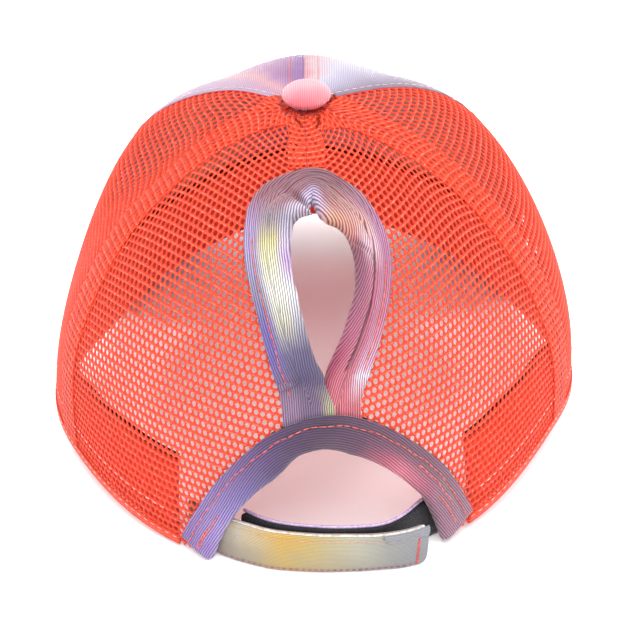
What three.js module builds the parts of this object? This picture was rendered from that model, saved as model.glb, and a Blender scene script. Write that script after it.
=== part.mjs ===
import * as THREE from 'three';

// A trucker cap with two cloth front panels, four mesh panels, a curved peak, a keyhole opening
// for a ponytail and a hook-and-loop strap at the back. Millimetres, +X to the wearer's right,
// +Y to the front, +Z up. The cap rests on its rear strap and on the two sides of its peak.

// Crown
const crownLength = 196;
const crownWidth = 182;
const crownHeight = 112;
const buttonForward = 6;
const buttonSideways = -1.1;
const rearSeamAngle = 68;
const frontSeamAngle = 119;

// Cloth thicknesses and the gap kept between neighbouring pieces
const twillWall = 1.5;
const meshWall = 1.0;
const tapeWall = 1.0;
const seamBandWall = 0.8;
const sweatbandWall = 1.5;
const gap = 0.3;
const clothGap = 0.5;
const edgeInset = tapeWall + clothGap;

// Seam bands and sweatband
const seamBandWidth = 13;
const seamBandTopRadius = 13;
const sweatbandHeight = 30;

// Button
const buttonDiameter = 15.2;
const buttonHeight = 6.2;

// Ponytail opening: a drop shape on the back seam
const holeLength = 57;
const holeWidth = 22;
const holeBottom = 67.4;
const holeSideways = 3.5;
const holeTapeWidth = 14;

// Rear arch above the strap
const archHeight = 45;
const archWidth = 83;
const archSideways = 1.5;
const archTapeWidth = 12.6;
const tapePuff = 0.7;

// Strap
const strapWidth = 16;
const strapWall = 2.0;
const strapEndRadius = 2.5;
const strapTuck = 11;
const strapSlope = 9;
const tabFreeEnd = 33;
const loopFreeEnd = 30;
const loopStep = 11.5;

// Peak
const peakReach = 68;
const peakFlare = 9;
const peakCorner = 4;
const peakWall = 3.0;
const peakSideAngle = 121;
const peakCentreHeight = 18;
const peakTipDrop = 5;

// Sections of the crown by azimuth, in degrees from the back towards the wearer's right. reach is a
// share of the plain oval of length and width, rise a share of the height, and shoulder and
// dome say how square the section is at its top corner, sideways and upwards.
const crownSections = [
  { azimuth: -180, reach: 1.006, rise: 0.158, shoulder: 3.15, dome: 2.4 },
  { azimuth: -150, reach: 0.99, rise: 0.1, shoulder: 2.77, dome: 2.3 },
  { azimuth: -120, reach: 0.968, rise: 0.045, shoulder: 3.5, dome: 2.1 },
  { azimuth: -90, reach: 1.025, rise: 0.047, shoulder: 2.36, dome: 1.7 },
  { azimuth: -60, reach: 0.989, rise: 0.054, shoulder: 2.24, dome: 2.25 },
  { azimuth: -30, reach: 0.983, rise: 0.01, shoulder: 2.63, dome: 1.81 },
  { azimuth: 0, reach: 1.002, rise: 0.005, shoulder: 3.2, dome: 1.74 },
  { azimuth: 30, reach: 0.963, rise: 0.021, shoulder: 2.6, dome: 1.9 },
  { azimuth: 60, reach: 0.957, rise: 0.085, shoulder: 2.0, dome: 2.3 },
  { azimuth: 90, reach: 1.0, rise: 0.047, shoulder: 2.31, dome: 2.2 },
  { azimuth: 120, reach: 0.976, rise: 0.05, shoulder: 3.3, dome: 2.18 },
  { azimuth: 150, reach: 0.993, rise: 0.104, shoulder: 2.78, dome: 2.1 },
];

// Dents (negative) and swells of the crown. push is a share of the height. up and spreadUp are
// shares of the way from rim to button, spread is in degrees.
const crownDents = [
  { azimuth: -92, up: 0.66, push: -0.022, spread: 24, spreadUp: 0.09 },
  { azimuth: -104, up: 0.85, push: 0.016, spread: 30, spreadUp: 0.08 },
  { azimuth: -66, up: 0.24, push: 0.012, spread: 12, spreadUp: 0.12 },
  { azimuth: 72, up: 0.2, push: 0.012, spread: 12, spreadUp: 0.12 },
  { azimuth: 3, up: 0.36, push: -0.012, spread: 14, spreadUp: 0.1 },
  { azimuth: 44, up: 0.34, push: -0.01, spread: 12, spreadUp: 0.14 },
];

// The drop outline from its lower tip up: along is a share of its length, left and right are
// shares of its width from its centre line.
const holeOutline = [
  { along: 0.0, left: 0.03, right: 0.03 },
  { along: 0.08, left: 0.12, right: 0.09 },
  { along: 0.23, left: 0.26, right: 0.29 },
  { along: 0.41, left: 0.38, right: 0.47 },
  { along: 0.56, left: 0.46, right: 0.53 },
  { along: 0.67, left: 0.49, right: 0.5 },
  { along: 0.82, left: 0.46, right: 0.36 },
  { along: 0.91, left: 0.38, right: 0.19 },
  { along: 0.97, left: 0.24, right: 0.03 },
];

const radians = THREE.MathUtils.degToRad;
const degrees = THREE.MathUtils.radToDeg;
const colours = {
  mesh: 0xf9694b,
  twillLeft: 0xb48cba,
  twillRight: 0xe6b4c4,
  button: 0xf29aa6,
  sweatband: 0xd43c35,
  binding: 0xa882a8,
  tab: 0xc9bfae,
  loop: 0x1c1a1c,
};

// A smooth value between the rows of the section table, all the way round.
function sectionValue(column, azimuth) {
  const count = crownSections.length;
  const place = (azimuth - crownSections[0].azimuth) / (360 / count);
  const index = Math.floor(place);
  const f = place - index;
  const row = (k) => crownSections[(((index + k) % count) + count) % count];
  const [a, b, c, d] = [-1, 0, 1, 2].map((k) => row(k)[column]);
  const square = 2 * a - 5 * b + 4 * c - d;
  const cube = 3 * b - a - 3 * c + d;
  return 0.5 * (2 * b + (c - a) * f + square * f * f + cube * f ** 3);
}

function ovalReach(azimuth) {
  const across = Math.sin(radians(azimuth)) / (crownWidth / 2);
  const along = Math.cos(radians(azimuth)) / (crownLength / 2);
  return 1 / Math.hypot(across, along);
}

// One section of the crown from rim to button, as shares of reach and rise by share of its length.
const meridianSteps = 60;
const meridians = new Map();
function meridian(azimuth) {
  const key = azimuth.toFixed(6);
  if (meridians.has(key)) return meridians.get(key);
  const shoulder = sectionValue('shoulder', azimuth);
  const dome = sectionValue('dome', azimuth);
  const reach = sectionValue('reach', azimuth) * ovalReach(azimuth);
  const rise = sectionValue('rise', azimuth) * crownHeight;
  const inward = [];
  const upward = [];
  const length = [0];
  for (let i = 0; i <= meridianSteps; i += 1) {
    const angle = (Math.PI / 2) * (1 - (1 - i / meridianSteps) ** 2.2);
    inward.push(Math.max(Math.cos(angle), 0) ** (2 / shoulder));
    upward.push(Math.sin(angle) ** (2 / dome));
    if (i > 0) {
      const run = (inward[i] - inward[i - 1]) * reach;
      const lift = (upward[i] - upward[i - 1]) * (crownHeight - rise);
      length.push(length[i - 1] + Math.hypot(run, lift));
    }
  }
  const found = { reach, rise, inward, upward, length, total: length[meridianSteps] };
  meridians.set(key, found);
  return found;
}

function bareCrown(azimuth, up) {
  const m = meridian(azimuth);
  const target = up * m.total;
  let i = 1;
  while (i < meridianSteps && m.length[i] < target) i += 1;
  const f = (target - m.length[i - 1]) / (m.length[i] - m.length[i - 1]);
  const inward = m.inward[i - 1] + (m.inward[i] - m.inward[i - 1]) * f;
  const upward = m.upward[i - 1] + (m.upward[i] - m.upward[i - 1]) * f;
  return new THREE.Vector3(
    buttonSideways + inward * (m.reach * Math.sin(radians(azimuth)) - buttonSideways),
    buttonForward + inward * (-m.reach * Math.cos(radians(azimuth)) - buttonForward),
    m.rise + (crownHeight - m.rise) * upward,
  );
}

function dentPush(azimuth, up) {
  let push = 0;
  for (const dent of crownDents) {
    const turn = ((azimuth - dent.azimuth + 540) % 360) - 180;
    const away = (turn / dent.spread) ** 2 + ((up - dent.up) / dent.spreadUp) ** 2;
    push += dent.push * crownHeight * Math.exp(-away);
  }
  return push;
}

// A point on the crown: up runs from 0 at the rim to 1 at the button, out is the distance outside
// the outer face of the cloth.
function crownPoint(azimuth, up, out = 0) {
  const step = 0.01;
  const low = Math.max(up - step, 0);
  const high = Math.min(up + step, 1);
  const here = bareCrown(azimuth, up);
  const along = bareCrown(azimuth, high).sub(bareCrown(azimuth, low));
  const around = bareCrown(azimuth + 1, up).sub(bareCrown(azimuth - 1, up));
  const normal = around.cross(along).normalize();
  return here.addScaledVector(normal, out + dentPush(azimuth, up));
}

function seamRadius(azimuth, up) {
  const p = bareCrown(azimuth, up);
  return Math.hypot(p.x - buttonSideways, p.y - buttonForward);
}

// The back of the crown as a flat pattern: across from the back seam, above the rim.
const backLength = meridian(0).total;
function backAzimuth(across, above) {
  return degrees(across / seamRadius(0, above / backLength));
}
function backPoint(across, above, out = 0) {
  return crownPoint(backAzimuth(across, above), above / backLength, out);
}

function geometryOf(points, triangles) {
  let volume = 0;
  for (const [a, b, c] of triangles) volume += points[a].dot(points[b].clone().cross(points[c]));
  const ordered = volume < 0 ? triangles.map(([a, b, c]) => [a, c, b]) : triangles;
  const geometry = new THREE.BufferGeometry();
  const numbers = points.flatMap((p) => p.toArray());
  geometry.setAttribute('position', new THREE.Float32BufferAttribute(numbers, 3));
  geometry.setIndex(ordered.flat());
  geometry.computeVertexNormals();
  return geometry;
}

// A cloth wall: place(column, row, face) gives the points of its outer face 0 and inner face 1.
function wallGeometry(columns, rows, place) {
  const points = [];
  const triangles = [];
  const at = (column, row, face) => (face * (rows + 1) + row) * (columns + 1) + column;
  for (const face of [0, 1]) {
    for (let row = 0; row <= rows; row += 1) {
      for (let column = 0; column <= columns; column += 1) points.push(place(column, row, face));
    }
  }
  const quad = (a, b, c, d) => triangles.push([a, b, c], [a, c, d]);
  for (let row = 0; row < rows; row += 1) {
    for (let column = 0; column < columns; column += 1) {
      quad(at(column, row, 0), at(column + 1, row, 0), at(column + 1, row + 1, 0), at(column, row + 1, 0));
      quad(at(column, row, 1), at(column, row + 1, 1), at(column + 1, row + 1, 1), at(column + 1, row, 1));
    }
    quad(at(0, row, 0), at(0, row + 1, 0), at(0, row + 1, 1), at(0, row, 1));
    quad(at(columns, row, 0), at(columns, row, 1), at(columns, row + 1, 1), at(columns, row + 1, 0));
  }
  for (let column = 0; column < columns; column += 1) {
    quad(at(column, 0, 0), at(column, 0, 1), at(column + 1, 0, 1), at(column + 1, 0, 0));
    quad(at(column, rows, 0), at(column + 1, rows, 0), at(column + 1, rows, 1), at(column, rows, 1));
  }
  return geometryOf(points, triangles);
}

// A strip of one closed section: place(step, corner) gives the corners of each step.
function stripGeometry(steps, section, place) {
  const points = [];
  const triangles = [];
  const corners = section.length;
  for (let step = 0; step <= steps; step += 1) {
    for (let corner = 0; corner < corners; corner += 1) points.push(place(step, section[corner]));
  }
  for (let step = 0; step < steps; step += 1) {
    for (let corner = 0; corner < corners; corner += 1) {
      const next = (corner + 1) % corners;
      const a = step * corners + corner;
      const b = step * corners + next;
      triangles.push([a, b, b + corners], [a, b + corners, a + corners]);
    }
  }
  const last = steps * corners;
  const cap = THREE.ShapeUtils.triangulateShape(section.map((s) => new THREE.Vector2(s.across, s.out)), []);
  const turned = THREE.ShapeUtils.area(section.map((s) => new THREE.Vector2(s.across, s.out))) > 0;
  for (const [a, b, c] of cap) {
    triangles.push(turned ? [a, c, b] : [a, b, c]);
    triangles.push(turned ? [last + a, last + b, last + c] : [last + a, last + c, last + b]);
  }
  return geometryOf(points, triangles);
}

// Shares along the crown for the rows of a panel, closer together where the outline turns.
const panelTop = 0.972;
const holeTop = holeBottom + holeLength;
const archEdgeHeight = archHeight + edgeInset;
const spread = (from, to, count) => (
  Array.from({ length: count + 1 }, (_, i) => from + ((to - from) * i) / count)
);
const rearRows = [
  ...spread(1, 0.125, 7).map((f) => archEdgeHeight * (1 - f * f)),
  ...spread(archEdgeHeight, archHeight + archTapeWidth, 2),
  ...spread(holeBottom - 2, holeBottom, 1),
  ...spread(holeBottom + holeLength * 0.1, holeBottom + holeLength * 0.9, 7),
  ...spread(holeBottom + holeLength * 0.95, holeTop + edgeInset + gap, 2),
  ...spread(holeTop + 8, panelTop * backLength, 5),
].map((above) => above / backLength);
const evenRows = spread(0, panelTop, 16);

// The arch as a curve of the flat pattern, and its half width and height a distance outside it.
function archPoint(share, outside = 0) {
  const across = (share * archWidth) / 2;
  const slope = (-4 * archHeight * share) / archWidth;
  const size = Math.hypot(1, slope);
  return {
    across: archSideways + across - (outside * slope) / size,
    above: archHeight * (1 - share * share) + outside / size,
  };
}

function archHalfAt(above, outside) {
  const steps = 200;
  for (let i = 1; i <= steps; i += 1) {
    const p = archPoint(i / steps, outside);
    if (p.above <= above) return p.across - archSideways;
  }
  const end = archPoint(1, outside);
  return end.across - archSideways + (end.above - above) * (archWidth / 4 / archHeight);
}

function archHeightAt(across, outside) {
  const steps = 200;
  for (let i = 1; i <= steps; i += 1) {
    const p = archPoint(i / steps, outside);
    if (p.across - archSideways >= Math.abs(across - archSideways)) return p.above;
  }
  return 0;
}

// The edge of the drop as one line of the flat pattern: up its left side, over the top, down the
// right side, with both ends carried on down to the arch.
const holeCurve = (() => {
  const point = (across, above) => new THREE.Vector3(holeSideways + across, above, 0);
  const left = holeOutline.map((row) => point(-row.left * holeWidth, holeBottom + row.along * holeLength));
  const right = holeOutline.map((row) => point(row.right * holeWidth, holeBottom + row.along * holeLength));
  const foot = archHeight + archTapeWidth;
  return new THREE.CatmullRomCurve3([
    point(-clothGap / 2, foot), ...left, point(-holeWidth * 0.1, holeTop),
    ...right.reverse(), point(clothGap / 2, foot),
  ]);
})();

// Where the inner edge of a rear panel lies: a small inset outside the arch, then outside the
// drop, then at the back seam. side is -1 on the wearer's left.
const holeEdges = [-1, 1].map((side) => {
  const samples = 120;
  const points = [];
  for (let i = 0; i <= samples; i += 1) {
    const t = side < 0 ? (0.5 * i) / samples : 1 - (0.5 * i) / samples;
    const p = holeCurve.getPoint(t);
    const along = holeCurve.getTangent(t);
    points.push({ across: p.x - along.y * edgeInset, above: p.y + along.x * edgeInset });
  }
  return points;
});

function rearPanelEdge(side, above) {
  if (above < archEdgeHeight) {
    return archSideways + side * Math.max(archHalfAt(above, edgeInset), edgeInset);
  }
  const points = holeEdges[side < 0 ? 0 : 1];
  if (above >= holeTop + edgeInset + gap) return (side * gap) / 2;
  let i = 1;
  while (i < points.length - 1 && points[i].above < above) i += 1;
  const span = points[i].above - points[i - 1].above || 1;
  const f = THREE.MathUtils.clamp((above - points[i - 1].above) / span, 0, 1);
  return points[i - 1].across + (points[i].across - points[i - 1].across) * f;
}

function panelGeometry(rows, columns, wall, startAngle, endAngle) {
  return wallGeometry(columns, rows.length - 1, (column, row, face) => {
    const up = rows[row];
    const f = column / columns;
    const azimuth = startAngle(up) + (endAngle(up) - startAngle(up)) * f;
    return crownPoint(azimuth, up, -face * wall);
  });
}

// The edge of a panel that stops half a gap short of a seam.
function seamEdge(angle, side) {
  return (up) => angle + side * degrees(gap / 2 / seamRadius(angle, up));
}

function rearPanel(side) {
  const inner = (up) => backAzimuth(rearPanelEdge(side, up * backLength), up * backLength);
  return panelGeometry(rearRows, 13, meshWall, inner, seamEdge(side * rearSeamAngle, -side));
}

function sidePanel(side) {
  return panelGeometry(
    evenRows, 8, meshWall, seamEdge(side * rearSeamAngle, side), seamEdge(side * frontSeamAngle, -side),
  );
}

function frontPanel(side) {
  return panelGeometry(
    evenRows, 9, twillWall, seamEdge(side * frontSeamAngle, side), seamEdge(side * 180, -side),
  );
}

// A band inside a seam, from a share of the way up to where the bands would meet at the button.
function seamBand(angle, from) {
  const rows = 14;
  let top = 0.99;
  while (seamRadius(angle, top) < seamBandTopRadius) top -= 0.002;
  const out = -meshWall - clothGap;
  return wallGeometry(2, rows, (column, row, face) => {
    const up = from + ((top - from) * row) / rows;
    const half = degrees(seamBandWidth / 2 / seamRadius(angle, up));
    return crownPoint(angle + half * (column - 1), up, out - face * seamBandWall);
  });
}

// The folded tape over the edge of the mesh: across runs from the fold to the stitched edge.
function tapeSection(width) {
  const outer = clothGap;
  const inner = -meshWall - clothGap;
  const middle = -meshWall / 2;
  const halfDepth = meshWall / 2 + clothGap + tapeWall;
  return [
    { across: width * 0.5, out: outer },
    { across: width, out: outer },
    { across: width, out: outer + tapeWall },
    { across: width * 0.7, out: outer + tapeWall + tapePuff },
    { across: width * 0.3, out: outer + tapeWall + tapePuff },
    { across: tapeWall * 0.8, out: middle + halfDepth * 0.9 },
    { across: 0, out: middle + halfDepth * 0.4 },
    { across: 0, out: middle - halfDepth * 0.4 },
    { across: tapeWall * 0.8, out: middle - halfDepth * 0.9 },
    { across: width * 0.5, out: inner - tapeWall },
    { across: width, out: inner - tapeWall },
    { across: width, out: inner },
    { across: width * 0.5, out: inner },
    { across: tapeWall, out: inner },
    { across: tapeWall, out: outer },
  ];
}

// A tape laid along a curve of the flat pattern. conform gives the height of a cut end.
function tapeGeometry(curve, steps, width, conform) {
  return stripGeometry(steps, tapeSection(width), (step, corner) => {
    const t = step / steps;
    const p = curve.getPoint(t);
    const along = curve.getTangent(t);
    const share = corner.across;
    let across = p.x - along.y * share;
    let above = p.y + along.x * share;
    if (step === 0 || step === steps) {
      const slant = Math.abs(along.y) > 0.5 ? 1 / Math.abs(along.y) : 1;
      across = p.x - Math.sign(along.y) * share * slant;
      above = conform(across);
    }
    return backPoint(across, above, corner.out);
  });
}

function archBinding() {
  const points = spread(-1, 1, 16).map((share) => {
    const p = archPoint(share);
    return new THREE.Vector3(p.across, p.above, 0);
  });
  return tapeGeometry(new THREE.CatmullRomCurve3(points), 32, archTapeWidth, () => 0);
}

function ponytailBinding() {
  const legEnd = (across) => archHeightAt(across, archTapeWidth) + clothGap + gap;
  return tapeGeometry(holeCurve, 46, holeTapeWidth, legEnd);
}

// A strap that follows the rim, standing on the surface the cap rests on. out(across) is the
// place of its outer face.
function strapGeometry(from, to, out) {
  const steps = 22;
  return wallGeometry(steps, 2, (column, row, face) => {
    const across = from + (to - from) * (1 - (1 - column / steps) ** 1.4);
    const short = Math.max(strapEndRadius - Math.abs(to - across), 0);
    const trim = strapEndRadius - Math.sqrt(strapEndRadius ** 2 - short ** 2);
    const above = trim + (strapWidth - 2 * trim) * (row / 2);
    const point = backPoint(across, above, out(across) - face * strapWall);
    point.z = above;
    return point;
  });
}

const tuckedOut = -meshWall - 2 * clothGap - tapeWall - gap;
const tabOut = tuckedOut + gap + strapWall;

function strapTab() {
  const start = archSideways - archWidth / 2 - strapTuck;
  const slopeFrom = archSideways - archHalfAt(strapWidth, 0) + strapWall;
  const out = (across) => {
    const f = THREE.MathUtils.smoothstep(across, slopeFrom, slopeFrom + strapSlope);
    return tuckedOut + (tabOut - tuckedOut) * f;
  };
  return strapGeometry(start, tabFreeEnd, out);
}

// The loop strip runs behind the tab, and steps inwards where the tab slopes to its own tuck.
function strapLoop() {
  const start = archSideways + archWidth / 2 + strapTuck;
  const end = archSideways - loopFreeEnd;
  const out = (across) => {
    const f = THREE.MathUtils.smoothstep(across, end + loopStep, end + loopStep + strapSlope);
    return tuckedOut - (strapWall + gap) * (1 - f);
  };
  return strapGeometry(start, end, out);
}

// The sweatband goes round from one end of the arch's tape to the other. The tape crosses the
// rim at a slant, which makes it endSlant times as wide there.
function sweatband() {
  const columns = 56;
  const rows = 3;
  const endSlant = 1.15;
  const outer = archWidth / 2 + archTapeWidth * endSlant + 2 * clothGap;
  const from = backAzimuth(archSideways + outer, 0);
  const to = 360 + backAzimuth(archSideways - outer, 0);
  const out = -meshWall - clothGap - seamBandWall - gap;
  return wallGeometry(columns, rows, (column, row, face) => {
    const azimuth = from + ((to - from) * column) / columns;
    const up = (sweatbandHeight * row) / rows / meridian(azimuth).total;
    return crownPoint(azimuth, up, out - face * sweatbandWall);
  });
}

function button() {
  const radius = buttonDiameter / 2;
  const profile = [
    [0, 0], [0.93, 0], [1, 0.18], [0.96, 0.5], [0.78, 0.8], [0.45, 0.96], [0, 1],
  ].map(([r, h]) => new THREE.Vector2(r * radius, h * buttonHeight));
  const geometry = new THREE.LatheGeometry(profile, 24);
  geometry.rotateX(Math.PI / 2);
  geometry.translate(buttonSideways, buttonForward, crownHeight + clothGap);
  return geometry;
}

// The peak leaves the crown at the temples, swells by the flare at its sides and is bent down on
// both sides, so that its sides touch the surface the cap rests on. The powers below 1 make its
// outline rounder at the corners than a plain oval.
const peakStart = 180 - peakSideAngle;
const peakEdge = (across) => {
  const turn = (Math.abs(across) * Math.PI) / 2;
  const corner = crownPoint(180 + Math.sign(across) * peakStart, 0, clothGap);
  const frontReach = crownLength / 2 + peakReach;
  const wide = Math.abs(corner.x) * Math.sin(turn) ** 0.85 + peakFlare * Math.sin(2 * turn) ** 0.8;
  const forward = corner.y + peakCorner + (frontReach - peakCorner - corner.y) * Math.cos(turn) ** 0.86;
  return new THREE.Vector3(-Math.sign(across) * wide, forward, 0);
};

function peak() {
  const columns = 28;
  const rows = 6;
  const share = (column) => -1 + (2 * column) / columns;
  const edge = spread(-1, 1, columns).map((across) => Math.abs(peakEdge(across).x));
  const widest = Math.max(...edge);
  return wallGeometry(columns, rows, (column, row, face) => {
    const across = share(column);
    const f = row / rows;
    const root = crownPoint(180 + across * peakStart, 0, clothGap);
    const point = root.clone().lerp(peakEdge(across), f);
    const drop = peakTipDrop * f * f * (1 - across * across);
    const bend = peakCentreHeight * (1 - (point.x / widest) ** 2) - drop;
    const settled = THREE.MathUtils.smoothstep(f, 0, 0.6);
    point.z = THREE.MathUtils.lerp(root.z, Math.max(bend, 0), settled) + (1 - face) * peakWall;
    return point;
  });
}

const group = new THREE.Group();

function addPiece(name, geometry, color, roughness = 0.85) {
  const mesh = new THREE.Mesh(geometry, new THREE.MeshStandardMaterial({ color, roughness, metalness: 0 }));
  mesh.name = name;
  group.add(mesh);
}

// The back seam's band starts just above the ponytail opening's tape.
const bandFoot = holeTop + holeTapeWidth + 2 * edgeInset;

addPiece('front_panel_left', frontPanel(-1), colours.twillLeft);
addPiece('front_panel_right', frontPanel(1), colours.twillRight);
addPiece('side_mesh_left', sidePanel(-1), colours.mesh);
addPiece('side_mesh_right', sidePanel(1), colours.mesh);
addPiece('rear_mesh_left', rearPanel(-1), colours.mesh);
addPiece('rear_mesh_right', rearPanel(1), colours.mesh);
addPiece('seam_band_back', seamBand(0, bandFoot / backLength), colours.mesh);
addPiece('seam_band_left', seamBand(-rearSeamAngle, 0), colours.mesh);
addPiece('seam_band_right', seamBand(rearSeamAngle, 0), colours.mesh);
addPiece('sweatband', sweatband(), colours.sweatband);
addPiece('button', button(), colours.button);
addPiece('ponytail_binding', ponytailBinding(), colours.binding);
addPiece('arch_binding', archBinding(), colours.binding);
addPiece('strap_tab', strapTab(), colours.tab);
addPiece('strap_loop', strapLoop(), colours.loop, 0.95);
addPiece('peak', peak(), colours.twillRight);

// The middle of the part's outline on the surface it rests on is the origin.
const box = new THREE.Box3().setFromObject(group);
group.position.set(-(box.min.x + box.max.x) / 2, -(box.min.y + box.max.y) / 2, -box.min.z);

export default group;
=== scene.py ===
import math

import bmesh
import bpy
import numpy as np
from mathutils import Matrix, Vector


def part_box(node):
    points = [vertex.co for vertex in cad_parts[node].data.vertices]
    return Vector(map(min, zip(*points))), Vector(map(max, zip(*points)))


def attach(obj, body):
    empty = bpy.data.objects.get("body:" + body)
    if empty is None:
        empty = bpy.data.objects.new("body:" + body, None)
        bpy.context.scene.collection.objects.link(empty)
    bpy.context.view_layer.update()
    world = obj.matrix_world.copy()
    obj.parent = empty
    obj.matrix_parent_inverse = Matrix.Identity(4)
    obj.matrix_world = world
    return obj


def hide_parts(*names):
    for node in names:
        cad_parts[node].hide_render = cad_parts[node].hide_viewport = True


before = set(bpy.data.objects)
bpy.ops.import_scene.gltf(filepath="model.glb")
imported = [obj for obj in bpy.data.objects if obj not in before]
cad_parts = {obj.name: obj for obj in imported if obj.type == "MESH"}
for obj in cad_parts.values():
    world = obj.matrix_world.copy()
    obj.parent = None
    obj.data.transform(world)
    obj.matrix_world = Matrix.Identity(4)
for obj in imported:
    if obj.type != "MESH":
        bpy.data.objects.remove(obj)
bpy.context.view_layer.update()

# A trucker cap seen from behind: dyed twill front and tapes, orange net sides and back, a keyhole
# for a ponytail and a touch-fastened strap. Sizes are millimetres until a point is placed.
mm = 0.001
pi = math.pi

crown = {
    "length": 196, "width": 182, "height": 112,
    "buttonForward": 6, "buttonSideways": -1.1,
    "rearSeam": 68, "frontSeam": 119,
    "top": 0.975,  # the panels end here, under the button
    # azimuth from the back centre towards the wearer's right, then reach, rise, shoulder and dome
    "sections": [
        (-180, 1.006, 0.158, 3.15, 2.4),
        (-150, 0.99, 0.1, 2.77, 2.3),
        (-120, 0.968, 0.045, 3.5, 2.1),
        (-90, 1.025, 0.047, 2.36, 1.7),
        (-60, 0.989, 0.054, 2.24, 2.25),
        (-30, 0.983, 0.01, 2.63, 1.81),
        (0, 1.002, 0.005, 3.2, 1.74),
        (30, 0.963, 0.021, 2.6, 1.9),
        (60, 0.957, 0.085, 2.0, 2.3),
        (90, 1.0, 0.047, 2.31, 2.2),
        (120, 0.976, 0.05, 3.3, 2.18),
        (150, 0.993, 0.104, 2.78, 2.1),
    ],
    # azimuth, share of the way up, push as a share of the height, spread in degrees, spread upwards
    "dents": [
        (-92, 0.66, -0.022, 24, 0.09),
        (-104, 0.85, 0.016, 30, 0.08),
        (-66, 0.24, 0.012, 12, 0.12),
        (72, 0.2, 0.012, 12, 0.12),
        (3, 0.36, -0.012, 14, 0.1),
        (44, 0.34, -0.01, 12, 0.14),
    ],
}

buttonLow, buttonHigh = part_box("button")
origin = (buttonLow + buttonHigh) / 2
origin = np.array([origin.x - crown["buttonSideways"] * mm, origin.y - crown["buttonForward"] * mm, 0])


def sectionValues(column, azimuths):
    table = np.array([row[column] for row in crown["sections"]])
    place = (azimuths + 180) / (360 / len(table))
    index = np.floor(place).astype(int)
    f = place - index
    a, b, c, d = (table[(index + k) % len(table)] for k in (-1, 0, 1, 2))
    return 0.5 * (2 * b + (c - a) * f + (2 * a - 5 * b + 4 * c - d) * f**2 + (3 * b - a - 3 * c + d) * f**3)


# The crown as tables over whole degrees and small shares of the way up
upSteps = 200
degreesRound = np.arange(-180, 181)
shares = np.linspace(0, 1, upSteps + 1)


def makeCrownTables():
    reach, rise, shoulder, dome = (sectionValues(k, degreesRound) for k in (1, 2, 3, 4))
    turn = np.radians(degreesRound)
    reach = reach / np.hypot(np.sin(turn) / (crown["width"] / 2), np.cos(turn) / (crown["length"] / 2))
    rise = rise * crown["height"]
    angle = pi / 2 * (1 - (1 - np.linspace(0, 1, 61)) ** 2.2)
    points = np.zeros((len(turn), upSteps + 1, 3))
    totals = np.zeros(len(turn))
    middle = np.array([crown["buttonSideways"], crown["buttonForward"]])
    for k in range(len(turn)):
        inward = np.maximum(np.cos(angle), 0) ** (2 / shoulder[k])
        upward = np.sin(angle) ** (2 / dome[k])
        steps = np.hypot(np.diff(inward) * reach[k], np.diff(upward) * (crown["height"] - rise[k]))
        length = np.concatenate([[0], np.cumsum(steps)])
        totals[k] = length[-1]
        inward = np.interp(shares * length[-1], length, inward)
        upward = np.interp(shares * length[-1], length, upward)
        rim = np.array([math.sin(turn[k]), -math.cos(turn[k])]) * reach[k]
        points[k, :, :2] = middle + inward[:, None] * (rim - middle)
        points[k, :, 2] = rise[k] + (crown["height"] - rise[k]) * upward
    return points, totals


def makeNormals(points):
    around = np.roll(points[:-1], -1, axis=0) - np.roll(points[:-1], 1, axis=0)
    around = np.concatenate([around, around[:1]])
    index = np.arange(upSteps + 1)
    along = points[:, np.minimum(index + 2, upSteps)] - points[:, np.maximum(index - 2, 0)]
    normals = np.cross(around, along)
    return normals / np.linalg.norm(normals, axis=2, keepdims=True)


def makeDents():
    push = np.zeros((len(degreesRound), upSteps + 1))
    for azimuth, up, share, spread, spreadUp in crown["dents"]:
        turn = (degreesRound - azimuth + 540) % 360 - 180
        away = (turn[:, None] / spread) ** 2 + ((shares[None, :] - up) / spreadUp) ** 2
        push += share * crown["height"] * np.exp(-away)
    return push


barePoints, meridianLengths = makeCrownTables()
crownNormals = makeNormals(barePoints)
crownPoints = barePoints + crownNormals * makeDents()[:, :, None]
fromButton = barePoints[:, :, :2] - [crown["buttonSideways"], crown["buttonForward"]]
crownRadii = np.hypot(fromButton[:, :, 0], fromButton[:, :, 1])


def bilinear(table, row, column):
    i, j = (np.minimum(place.astype(int), size - 2) for place, size in zip((row, column), table.shape))
    f, g = row - i, column - j
    if table.ndim == 3:
        f, g = f[..., None], g[..., None]
    low = table[i, j] * (1 - f) + table[i + 1, j] * f
    high = table[i, j + 1] * (1 - f) + table[i + 1, j + 1] * f
    return low * (1 - g) + high * g


def lookUp(table, azimuth, up):
    azimuth, up = np.broadcast_arrays(azimuth, up)
    return bilinear(table, (azimuth + 180.0) % 360, np.clip(up, 0, 1) * upSteps)


def crownPoint(azimuth, up, out=0.0):
    return lookUp(crownPoints, azimuth, up) + lookUp(crownNormals, azimuth, up) * np.asarray(out)[..., None]


def radiusAt(azimuth, up):
    return lookUp(crownRadii, azimuth, up)


def lengthAt(azimuth):
    return float(meridianLengths[int(round(azimuth)) + 180])


def lengthsAt(azimuths):
    return np.interp((np.asarray(azimuths) + 180) % 360 - 180, degreesRound, meridianLengths)


# The cloth as a flat pattern round the meridian at centre: across it and above the rim
def flatAzimuth(centre, across, above):
    up = np.asarray(above, float) / lengthAt(centre)
    return centre + np.degrees(across / radiusAt(centre, up)), up


def flatPoint(centre, across, above, out=0.0):
    azimuth, up = flatAzimuth(centre, across, above)
    return crownPoint(azimuth, up, out)


def toRow(points):
    return np.asarray(points) * mm + origin


drapeReach = 90  # millimetres each way from a panel's centre line
drapeSteps = 4  # steps for each of them


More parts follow.
